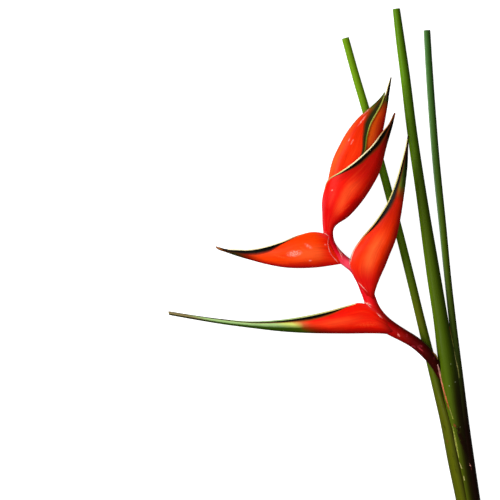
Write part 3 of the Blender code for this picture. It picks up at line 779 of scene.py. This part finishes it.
# Flower stalk, from the cut end to the growing tip. Each row: x, y, height, radius, colour stage
flowerStalk = {
    "rows": [
        (477.9, -55, 10.6, 4.6, 0), (468.4, 0, 11.2, 4.8, 0), (461.4, 40, 10.6, 4.4, 0.02),
        (455.5, 70, 9.6, 3.8, 0.04), (450.5, 92, 9, 3.4, 0.06), (446.2, 108, 9, 3.2, 0.1),
        (442.4, 119, 9.6, 3.6, 0.14), (438.6, 129.5, 12.8, 4.7, 0.18), (434, 137.8, 16.2, 5.4, 0.24),
        (425.8, 147.5, 19.4, 5.8, 0.36), (414, 158, 21.6, 6, 0.48), (402.2, 165.1, 22.4, 6.3, 0.58),
        (391.8, 171, 22.2, 7, 0.66), (380.9, 178.6, 21.6, 7.9, 0.74), (372.9, 190.3, 20.8, 7.1, 0.8),
        (369.2, 201.5, 19.8, 6.2, 0.86), (365.6, 211.3, 19, 6.2, 0.89), (361.3, 221.2, 18.4, 6, 0.91),
        (353.6, 232.4, 17.8, 5.3, 0.94), (345.8, 238.2, 17.6, 4.9, 0.96), (339.8, 243.2, 17.2, 5, 0.97),
        (334.2, 249.2, 16.9, 5.1, 0.98), (330.2, 255.5, 16.6, 5.1, 0.99), (328.4, 262, 16.4, 5, 1),
        (328.1, 268, 16.4, 4.9, 1), (328.8, 275, 16.4, 4.2, 1), (330.6, 283, 16.6, 3.3, 1),
        (333, 292, 16.9, 2.4, 1), (335.4, 299, 17.2, 1.8, 1),
    ],
    "stations": 280, "sides": 72, "ribs": 5, "ribDepth": 0.018, "unevenness": 0.07, "seed": 4,
    "bevel": 0.4, "dish": 0.3,
    "stages": [
        (0, "olive"), (0.1, "umber"), (0.3, "umber"), (0.5, "maroon"), (0.6, "dusk"), (0.68, "crimson"),
        (0.78, "scarlet"), (0.93, "pinkRed"), (0.955, "rose"), (0.975, "pinkRed"), (1, "ruby"),
    ],
    "light": "rose",
    "pith": "#D8D09A",
    "fibreScale": (9.0, 9.0, 9.0),
    "shine": {"Roughness": 0.4, "Specular IOR Level": 0.05, "Coat Weight": 0.03, "Coat Roughness": 0.2},
    "marks": [
        # a whitish scuff with a painted glint, a painted pink glint line along the peduncle, and a pale mark at a
        # node
        (397.6, 165.6, 2.6, 0.9, -60, 0.8, "rubbed"), (419.6, 151.4, 4.6, 0.9, -40, 0.5, "pink"),
        (368, 195.6, 4.2, 2, -30, 0.8, "rubbed"),
    ],
}


def flowerStalkSkin():
    # Succulent stalk skin, waxy and finely fibrous, pinker in patches towards the growing tip, with painted shade
    # on one side
    look = flowerStalk
    material, add, coords = newSkin("crimsonStalkSkin")
    across, up = splitAttribute(add, "skinRound")[:2]
    along, cut = splitAttribute(add, "skinMark")[:2]
    stages = add("ValToRGB", {}, [along], tintStops(look["stages"]))
    fibres = lengthNoise(add, across, up, along, look["fibreScale"], 4.0, 0.65)
    fibred = shadeWhere(add, stages, fibres, 0.3, 0.7, 0.72, 1.0)
    # painted shade: deeper on the side that lies away from bract 1
    shadedSideShare = add("MapRange", {}, [across, -0.2, 0.9, 1.0, 0.5])
    shadedSideAlong = add("MapRange", {}, [along, 0.92, 0.72])
    toned = add("Mix", toneMix, [shadedSideAlong, fibred, shadedSideShare])
    bloom = add("TexNoise", {}, [coords, 1 / 0.004, 4.0])
    bloomShare = add("MapRange", {}, [bloom, 0.62, 0.78, 0.0, 0.45])
    stageShare = add("Math", "MULTIPLY", [bloomShare, along])
    bloomed = add("Mix", colourMix, [stageShare, toned, tint(look["light"])])
    marked = addMarks(add, coords, bloomed, look["marks"])
    pith = add("Mix", colourMix, [cut, marked, paint(look["pith"])])
    bump = add("Bump", {}, {"Height": fibres, "Strength": 0.4, "Distance": 0.0002})
    return finishSkin(material, pith, bump, look["shine"])


stalkRows = []
for x, y, height, radius, stage in smoothRows(flowerStalk["rows"], flowerStalk["stations"], 3):
    stalkRows.append((x, y, height, radius, radius, 0.0, max(0.0, min(1.0, stage))))
stalkMesh = growStalk("flowerStalk", stalkRows, flowerStalk, flowerStalkSkin())
newPiece("flowerStalk", stalkMesh, ["flower_stalk"], "flower_stalk_skin")
print("flower stalk made")


# Leaf stalks, from the cut top to the cut foot. Each row: x, y, half width, half height, lift.
# run: the skin from the foot (0) to the top (1). setBack: mm that the foot is cut shorter.
# edge sheen, its colour: painted sheen on the edge to the light. shadeSide: painted shade on the other side. bronze
# foot: how far that side turns a dark bronze where the sheaths close, its own colour with painted shade. brown:
# strength of the brown marks there.
leafStalks = {
    "leafStalkLeft": {
        "node": "leaf_stalk_left",
        "rows": [
            (345.6, 462.7, 3.6, 3.4, 0), (356, 425, 3.8, 3.6, 0.3), (367.2, 387, 4, 3.8, 0.6),
            (383, 330, 4, 3.9, 1), (400.5, 263.5, 4.1, 4.2, 1.8), (411.4, 220, 4.2, 4.4, 1.6),
            (421.1, 180, 4.3, 4.6, 1.2), (431.8, 137, 4.9, 5.4, 1), (438.8, 110, 5.6, 7.8, 0.8),
            (447.2, 80, 7.2, 10.8, 0.4), (456.2, 36, 7.7, 11.4, 0), (464, 0, 7.9, 11, 0),
            (473.7, -55, 7.7, 10.5, 0),
        ],
        "sides": 88, "ribs": 22, "ribDepth": 0.01, "seed": 11, "setBack": 0.3,
        "run": [(0, "sheath"), (0.28, "sheath"), (0.38, "deepGreen"), (0.44, "sheath"), (0.52, "deepGreen"),
                (0.74, "leafGreen"), (0.88, "green")],
        "edgeBloom": 0.3, "shadeSide": 0.65, "bronzeFoot": 0.9,
        "brown": 0.75,
        "marks": [
            (438, 94, 1.6, 0.8, -70, 0.9, "speck"), (441.6, 94, 1.4, 0.7, -70, 0.8, "speck"),
            (446.7, 59, 4.4, 0.8, -78, 0.9, "scar"), (444, 73, 5, 1.4, -72, 0.6, "speck"),
            (452.6, 44, 5, 1.2, -74, 0.5, "speck"), (455, 32, 7, 1, -76, 0.5, "speck"),
        ],
    },
    "leafStalkMiddle": {
        "node": "leaf_stalk_middle",
        "rows": [
            (396.7, 492, 3.7, 3.6, 0.6), (400.8, 460, 4.4, 4.3, 0.5), (405, 429, 4.8, 4.6, 0.4),
            (412.3, 370, 5, 4.8, 0.4), (422.6, 300, 5.4, 5.4, 0.8), (434.7, 220, 7, 6.6, 1.4),
            (441, 180, 7.4, 7.6, 2.9), (446.4, 142, 8.6, 9, 4.2), (450.6, 114, 9, 10.4, 2.2),
            (454.8, 80, 9.7, 11.6, 0.4), (462, 36, 9.2, 11.3, 0), (468.2, 0, 8.8, 10.9, 0),
            (477.8, -55, 8.5, 10.4, 0),
        ],
        "sides": 96, "ribs": 26, "ribDepth": 0.008, "seed": 23, "setBack": 0.8,
        "run": [(0, "sheath"), (0.34, "deepGreen"), (0.66, "deepGreen"), (0.9, "leafGreen")],
        "edgeBloom": 0.3, "shadeSide": 0.32, "bronzeFoot": 0.85,
        "brown": 0.6,
        "marks": [
            (449, 141, 1.3, 0.7, 80, 0.9, "speck"), (450.2, 134, 1.5, 0.7, -70, 0.9, "speck"),
            (451.6, 130, 1.3, 0.6, -70, 0.8, "speck"), (450, 136.4, 0.8, 0.5, 0, 0.9, "dust"),
            (454.6, 118.4, 0.8, 0.5, 0, 0.9, "dust"), (448.6, 114.6, 0.8, 0.5, 0, 0.9, "dust"),
            # the two bronze marks are a dark brown stripe by the sheath margin, partly painted shade
            (462.4, 58, 20, 3, -68, 2.8, "bronze"), (457, 72, 4.5, 1.6, -50, 2.4, "bronze"),
            (453.8, 75.2, 2.6, 1.2, -52, 2, "scar"), (459.5, 73.6, 0.8, 0.5, 0, 0.9, "dust"),
        ],
    },
    "leafStalkRight": {
        "node": "leaf_stalk_right",
        "rows": [
            (427.5, 470.5, 3.4, 3.4, 0), (429.9, 429, 3.6, 3.5, 0.3), (433.3, 380, 3.7, 3.6, 0.6),
            (436.5, 340, 3.8, 3.7, 0.8), (443.6, 270, 3.7, 3.7, 1.2), (448.5, 220, 3.5, 3.8, 1.8),
            (452.8, 180, 3.7, 4, 2.8), (457.1, 144, 3.8, 4.6, 3.8), (460.2, 116, 4.2, 5.8, 4.2),
            (463.9, 80, 5, 7.8, 3.2), (469.7, 36, 5.4, 8.2, 2.8), (475, 0, 5.5, 8.2, 2.6),
            (484.3, -55, 5.4, 8, 2.4),
        ],
        "sides": 80, "ribs": 20, "ribDepth": 0.01, "seed": 37, "setBack": 1.3,
        "run": [(0, "bronze"), (0.24, "bronze"), (0.38, "moss"), (0.58, "deepGreen"), (0.9, "seaGreen")],
        "edgeBloom": 0.6, "edgeColour": "frostSheen", "shadeSide": 0.34, "bronzeFoot": 0.5,
        "brown": 0.4,
        "marks": [
            (469.2, 36, 3.4, 0.7, -60, 0.95, "rubbed"), (470.6, 32, 2.2, 0.6, -70, 0.8, "scar"),
            (466.9, 41, 2.6, 0.6, -40, 0.7, "scar"),
        ],
    },
}
leafStalkLook = {
    "stations": 300, "unevenness": 0.03, "bevel": 0.4, "dish": 0.35,
    "edgeColour": "bloom",
    "ends": (-55.0, 480.0),             # y of the foot and of the top
    "bloomFrom": (150.0, 300.0),        # y where the painted sheen on the lit edge begins and is full
    "footFrom": (150.0, 95.0),          # y where the bronze with painted shade and the brown marks begin and are full
    "streakScale": (4.0, 4.0, 1 / 60),  # 60 mm long and about 2 mm wide
    "blot": "#2A1406", "blotSize": 0.0032,
    "speck": "#1C2404", "speckSize": 0.0016,
    "pith": [(0.0, "#E6E8B8"), (0.6, "#D0DC98"), (0.86, "#9CBC54"), (0.93, "#648824"), (1.0, "#42640F")],
}
petioleShine = {"Roughness": 0.42, "Specular IOR Level": 0.045, "Coat Weight": 0.03, "Coat Roughness": 0.2}


def petioleSkin(name, look):
    # Smooth petiole and sheath skin, waxy, with fine ribs and brown marks where the sheaths close; painted sheen on
    # the edge to the light, painted shade and dark bronze on the other side
    material, add, coords = newSkin(name)
    across, up = splitAttribute(add, "skinRound")[:2]
    along, cut, outward = splitAttribute(add, "skinMark")
    streaks = lengthNoise(add, across, up, along, look["streakScale"], 5.0, 0.6)
    centred = add("Math", "SUBTRACT", [streaks, 0.5])
    side = add("Math", "MULTIPLY_ADD", [across, -0.5, 0.5])
    wandered = add("Math", "MULTIPLY_ADD", [centred, 0.10, side])
    lengthwise = add("MapRange", {}, [along, *look["ends"]])
    body = add("ValToRGB", {}, [lengthwise], tintStops(look["run"]))
    # painted sheen on the edge to the light, high on the stalk
    bloomShare = add("MapRange", softStep, [wandered, 0.22, 0.02, 0.0, look["edgeBloom"]])
    litSheenHigh = add("MapRange", {}, [along, *look["bloomFrom"]])
    litEdgeSheenShare = add("Math", "MULTIPLY", [bloomShare, litSheenHigh])
    body = add("Mix", colourMix, [litEdgeSheenShare, body, tint(look["edgeColour"])])
    # painted shade on the side away from the light
    body = shadeWhere(add, body, wandered, 0.30, 0.86, 1.0, look["shadeSide"])
    # towards the foot the far side turns dark bronze, its own colour with painted shade
    footShare = add("MapRange", softStep, [along, *look["footFrom"]])
    farSideBronzeShade = add("MapRange", softStep, [wandered, 0.36, 0.76, 0.0, look["bronzeFoot"]])
    body = add("Mix", colourMix, [add("Math", "MULTIPLY", [footShare, farSideBronzeShade]), body, tint("bronze")])
    body = shadeWhere(add, body, streaks, 0.3, 0.7, 0.8, 1.0)
    # brown marks on the sheaths, 3 to 8 mm long
    stretched = add("Mapping", {}, {"Vector": coords, "Scale": (1.0, 0.35, 1.0)})
    blot = add("TexNoise", {}, [stretched, 1 / look["blotSize"], 4.0, 0.7])
    blotShare = add("MapRange", {}, [blot, 0.60, 0.72])
    footBlot = add("Math", "MULTIPLY", [blotShare, footShare])
    blotAmount = add("Math", "MULTIPLY", [footBlot, look["brown"]])
    body = add("Mix", colourMix, [blotAmount, body, paint(look["blot"])])
    body = addMarks(add, coords, body, look["marks"])
    # small dark specks anywhere
    speck = add("TexNoise", {}, [coords, 1 / look["speckSize"], 1.0])
    body = tintWhere(add, body, paint(look["speck"]), speck, 0.74, 0.80, 0.7, {})
    # the cut face: green skin, then pale pith
    body = add("Mix", colourMix, [cut, body, add("ValToRGB", {}, [outward], look["pith"])])
    relief = add("Bump", {}, {"Height": streaks, "Strength": 0.35, "Distance": 0.0003})
    return finishSkin(material, body, relief, petioleShine)


level = math.cos(math.pi / 16)      # the solids have a flat underside, this share of the half height down
for leafName, leafStalk in leafStalks.items():
    look = {**leafStalkLook, **leafStalk}
    rows = []
    for x, y, wide, tall, lift in smoothRows(look["rows"], look["stations"], 2):
        lift = max(0.0, lift)
        rows.append((x, y, lift + tall * level, wide, tall, lift, y))
    mesh = growStalk(leafName, rows, look, petioleSkin(leafName + "Petiole", look))
    newPiece(leafName, mesh, [look["node"]], "leaf_stalk_skin")
print("leaf stalks made:", len(leafStalks))


# Florets in the three open bracts: slender buds side by side
floretBeds = {
    "florets1": {"node": "florets_1", "seat": (369.5, 180.5), "tip": (336, 185), "count": 4},
    "florets2": {"node": "florets_2", "seat": (368.6, 217.6), "tip": (372.5, 258), "count": 4},
    "florets3": {"node": "florets_3", "seat": (331.2, 246.6), "tip": (299, 256), "count": 4},
}
floretLook = {
    "radius": 1.7, "spread": 5.6, "sides": 24, "ribs": 6, "ribDepth": 0.04, "unevenness": 0.05, "seed": 5,
    "steps": 26, "bevel": 0.2, "dish": -0.2,
    "shorter": 0.12,        # every second bud
    "gathered": 0.45,       # share of the spread at the seat
    "profile": [(-0.02, 0.7), (0.15, 0.95), (0.55, 1.0), (0.85, 0.7), (1.0, 0.2)],      # share along, of the radius
    "colours": [(0, "#E8E0B0"), (0.45, "#F0D878"), (0.8, "#D8C858"), (1, "#7C9C38")],
    "grain": 0.0012, "grainTone": (0.0, 1.0, 0.75, 1.0), "shine": {"Roughness": 0.5},
}


def grainySkin(name, stops, look):
    # a colour that changes along the piece, under a fine broken grain
    material, add, coords = newSkin(name)
    colours = add("ValToRGB", {}, [splitAttribute(add, "skinMark")[0]], stops)
    grain = add("TexNoise", {}, [coords, 1 / look["grain"], 3.0])
    toned = shadeWhere(add, colours, grain, *look["grainTone"])
    return finishSkin(material, toned, None, look["shine"])


# Soft petal tissue, matt, cream to green at the tip
petal = grainySkin("creamFloretPetal", floretLook["colours"], floretLook)
for bedName, bed in floretBeds.items():
    made = []
    for i in range(bed["count"]):
        side = (i - 0.5 * (bed["count"] - 1)) / (bed["count"] - 1) * floretLook["spread"]
        reach = 1.0 - floretLook["shorter"] * (i % 2)
        gathered = floretLook["gathered"]
        plan = []
        for share, size in floretLook["profile"]:
            x = bed["seat"][0] + (bed["tip"][0] - bed["seat"][0]) * share * reach
            y = bed["seat"][1] + (bed["tip"][1] - bed["seat"][1]) * share * reach
            radius = floretLook["radius"] * size
            height = headHeight(x) + side * (gathered + (1 - gathered) * share)
            plan.append((x, y, height, radius, radius, 0.0, max(0.0, share)))
        rows = smoothRows(plan, floretLook["steps"], 3)
        made.append(growStalk("floret", rows, {**floretLook, "seed": floretLook["seed"] + i}, petal))
    newPiece(bedName, joinMeshes(bedName, made, petal), [bed["node"]], "floret_skin")
print("florets made:", len(floretBeds))


# Thin trims that lie on the finished skins. Each line's rows: x, y, half width, place on the colour ramp
trims = {
    "sheathMargins": {
        "on": ["leafStalkLeft", "leafStalkMiddle", "leafStalkRight", "flowerStalk"],
        "slot": "leaf_stalk_skin",
        "thick": 0.22,
        "colours": [(0, "paper"), (0.3, "salmon"), (0.58, "rust"), (0.66, "husk"), (0.75, "ridge"), (1, "straw")],
        "lines": [
            [(437, 136, 0.5, 0), (439.4, 128, 0.9, 0.1), (442.9, 113.5, 1.1, 0.3), (445, 105, 1.1, 0.4),
             (447.2, 97, 0.9, 0.5), (448.3, 91, 0.3, 0.6)],
            [(448.5, 94, 0.3, 0.75), (450.3, 88, 0.5, 0.75), (452.3, 81.5, 0.3, 0.75)],
            [(449.4, 173, 0.25, 0.64), (451, 165, 0.35, 0.7), (453.2, 154, 0.45, 0.8), (455.4, 142, 0.5, 0.9),
             (458, 130, 0.45, 0.85), (459, 122, 0.25, 0.8)],
            [(451.9, 74.5, 0.3, 0.75), (455.5, 56.6, 1, 0.75), (458.2, 42.6, 0.4, 0.75)],
            [(458.6, 38.5, 0.2, 1), (461.2, 32.2, 0.3, 1)], [(462.9, 25, 0.2, 1), (463.8, 20.5, 0.5, 1)],
            [(431.6, 148.4, 0.3, 0.66), (434.6, 145, 1.3, 0.68), (437.4, 140.6, 0.4, 0.7)],
        ],
    },
    "seamLines": {
        "on": ["flowerStalk", "bract1", "bract2", "bract3", "bract4"],
        "slot": "flower_stalk_skin",
        "thick": 0.16,
        "colours": [(0, "pinkRed"), (0.7, "pink"), (1, "rubbed")],
        "lines": [
            [(323.3, 267.1, 0.15, 1), (325.5, 266, 0.35, 1), (328.4, 263.8, 0.2, 0.8)],
            [(328.6, 263, 0.2, 0.8), (327.6, 257, 0.25, 0.85), (328.8, 250, 0.3, 0.9), (331, 245.2, 0.25, 0.8),
             (335, 240.7, 0.3, 0.95), (339, 235.7, 0.12, 0.7)],
            [(336, 254, 0.15, 0.8), (338.2, 250, 0.35, 1), (340.6, 245, 0.35, 0.9), (343.2, 237.7, 0.15, 0.6)],
            [(337, 252, 0.15, 0.7), (340.5, 247.5, 0.3, 0.9), (344, 243, 0.12, 0.6)],
            [(348.9, 241.2, 0.3, 1), (349.2, 238, 0.4, 1), (350, 233, 0.35, 0.8), (352.5, 227, 0.15, 0.6)],
            [(357, 218.5, 0.2, 0.8), (361, 214.5, 0.45, 1), (367, 208, 0.15, 0.7)],
            [(364.5, 198.5, 0.3, 0.9), (367, 196, 0.5, 1), (370.5, 192.5, 0.2, 0.8)],
            [(376, 187.5, 0.2, 0.8), (378.5, 184.5, 0.45, 1), (381.4, 182.2, 0.15, 0.8)],
            # a whitish scuff on the peduncle, with a painted glint
            [(396.5, 168, 0.2, 0.6), (398, 165.5, 0.35, 0.8), (396.8, 164, 0.15, 0.6)],
        ],
    },
}
trimLook = {
    "steps": 40, "sides": 12, "ribs": 0, "ribDepth": 0.0, "unevenness": 0.5, "seed": 9,
    "bevel": 0.08, "dish": -0.08,
    "thinnest": 0.1,
    "above": 90.0,          # height from which a line is let down
    "grain": 0.0015, "grainTone": (0.35, 0.6, 0.45, 1.0), "shine": {"Roughness": 0.6, "Specular IOR Level": 0.2},
}


def surfaceOf(names):
    # what a line is laid on
    points, faces = [], []
    for name in names:
        mesh = bpy.data.objects[name].data
        start = len(points)
        points += [vertex.co.copy() for vertex in mesh.vertices]
        faces += [[start + i for i in face.vertices] for face in mesh.polygons]
    return BVHTree.FromPolygons(points, faces)


def layLine(line, surface, trim, skin):
    # one line of a trim, let down on the skins below it
    plan = []
    for x, y, wide, stage in smoothRows(line, trimLook["steps"], 2):
        spot = surface.ray_cast(onPart(x, y, trimLook["above"]), Vector((0.0, 0.0, -1.0)))[0]
        plan.append([x, y, spot.z / mm if spot else None, max(trimLook["thinnest"], wide), stage])
    found = [row for row in plan if row[2] is not None]
    for row in plan:
        if row[2] is None:
            row[2] = min(found, key=lambda other: math.dist(row[:2], other[:2]))[2]
    rows = []
    for i, (x, y, height, wide, stage) in enumerate(plan):
        near = plan[max(0, i - 2):i + 3]
        height = max(height, sum(row[2] for row in near) / len(near))
        rows.append((x, y, height, wide, trim["thick"], 0.0, max(0.0, min(1.0, stage))))
    return growStalk("line", rows, trimLook, skin)


for trimName, trim in trims.items():
    # Dried plant tissue, papery and matt
    skin = grainySkin(trimName + "DryMargin", tintStops(trim["colours"]), trimLook)
    surface = surfaceOf(trim["on"])
    made = (layLine(line, surface, trim, skin) for line in trim["lines"])
    newPiece(trimName, joinMeshes(trimName, made, skin), None, trim["slot"])
print("trims made:", len(trims))


# Stage: a pale table, a large soft light from the upper left and a weak fill
studio = {
    "tableSize": 40.0,
    "tableDrop": 0.0002,
    "table": {                  # matt white laminate, lit from below
        "Base Color": paint("#C8C8C6"), "Roughness": 0.9, "Emission Color": (1.0, 1.0, 1.0, 1.0),
        "Emission Strength": 0.90,
    },
    "key": {"place": (-1.75, 0.85, 1.25), "size": 1.1, "power": 47.0, "gloss": True},
    "fill": {"place": (-0.05, -0.35, 2.6), "size": 2.4, "power": 38.0, "gloss": False},
    "side": {"place": (1.7, -0.3, 0.5), "size": 1.2, "power": 5.0, "gloss": False},
    "sky": 0.12,
    "aim": (-0.15, 0.24, 0.01),
}
camera = {"place": (-0.2144, 0.250, 2.79), "lens": 200.0, "sensor": 36.0, "far": 100.0}

tableMesh = bpy.data.meshes.new("table")
half = studio["tableSize"] / 2
corners = ((-half, -half), (half, -half), (half, half), (-half, half))
tableMesh.from_pydata([(*corner, -studio["tableDrop"]) for corner in corners], [], [(0, 1, 2, 3)])
table = newObject("table", tableMesh)
tableMaterial = bpy.data.materials.new("paleTableLaminate")
tableMaterial.use_nodes = True
finishSkin(tableMaterial, None, None, studio["table"])
tableMesh.materials.append(tableMaterial)
table.visible_diffuse = False       # keeps the shaded edges of the flower deep
table.visible_glossy = False

for lightName in ("key", "fill", "side"):
    light = studio[lightName]
    data = bpy.data.lights.new(lightName, "AREA")
    data.shape = "SQUARE"
    data.size = light["size"]
    data.energy = light["power"]
    lamp = newObject(lightName, data, light["place"])
    lamp.rotation_euler = (Vector(studio["aim"]) - Vector(light["place"])).to_track_quat("-Z", "Y").to_euler()
    lamp.visible_glossy = light["gloss"]

world = bpy.data.worlds.new("studio")
world.use_nodes = True
sky = world.node_tree.nodes["Background"]
sky.inputs["Color"].default_value = (1.0, 1.0, 1.0, 1.0)
sky.inputs["Strength"].default_value = studio["sky"]
bpy.context.scene.world = world
bpy.context.scene.view_settings.view_transform = "Standard"

cameraData = bpy.data.cameras.new("camera")
cameraData.lens = camera["lens"]
cameraData.sensor_width = camera["sensor"]
cameraData.clip_end = camera["far"]
bpy.context.scene.camera = newObject("camera", cameraData, camera["place"])
print("studio made")
